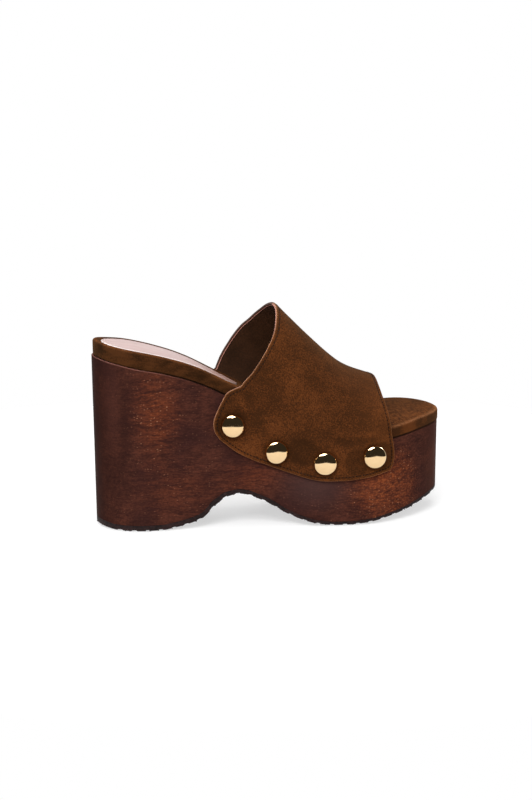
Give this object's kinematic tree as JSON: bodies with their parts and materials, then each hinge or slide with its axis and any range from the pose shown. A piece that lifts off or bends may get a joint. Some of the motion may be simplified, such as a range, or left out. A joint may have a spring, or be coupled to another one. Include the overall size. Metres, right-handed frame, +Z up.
{
  "type": "platform clog",
  "caption": "High-heeled platform clog: dark carved wooden sole, rubber outsole, suede-covered footbed with a heel sock, open-toed suede upper held by dome studs.",
  "frame": {"origin": "on the floor, under the middle of the shoe's box", "axes": "+X from heel to toe, +Y to the wearer's left, which is the inner side, +Z up"},
  "size_m": [0.2444, 0.106, 0.1476],
  "materials": {
    "wood": "dark stained, satin",
    "rubber": "matte, fine crumb",
    "suede_footbed": "brown suede nap",
    "sock_leather": "smooth pale pink",
    "suede_upper": "brown suede nap",
    "gold": "polished"
  },
  "bodies": {
    "root": {"wood_sole": "wood", "rubber_outsole": "rubber", "footbed": "suede_footbed", "heel_sock": "sock_leather", "upper": "suede_upper", "stud_lateral_1": "gold", "stud_lateral_2": "gold", "stud_lateral_3": "gold", "stud_lateral_4": "gold", "stud_medial_1": "gold", "stud_medial_2": "gold", "stud_medial_3": "gold", "stud_medial_4": "gold"}
  },
  "joints": []
}
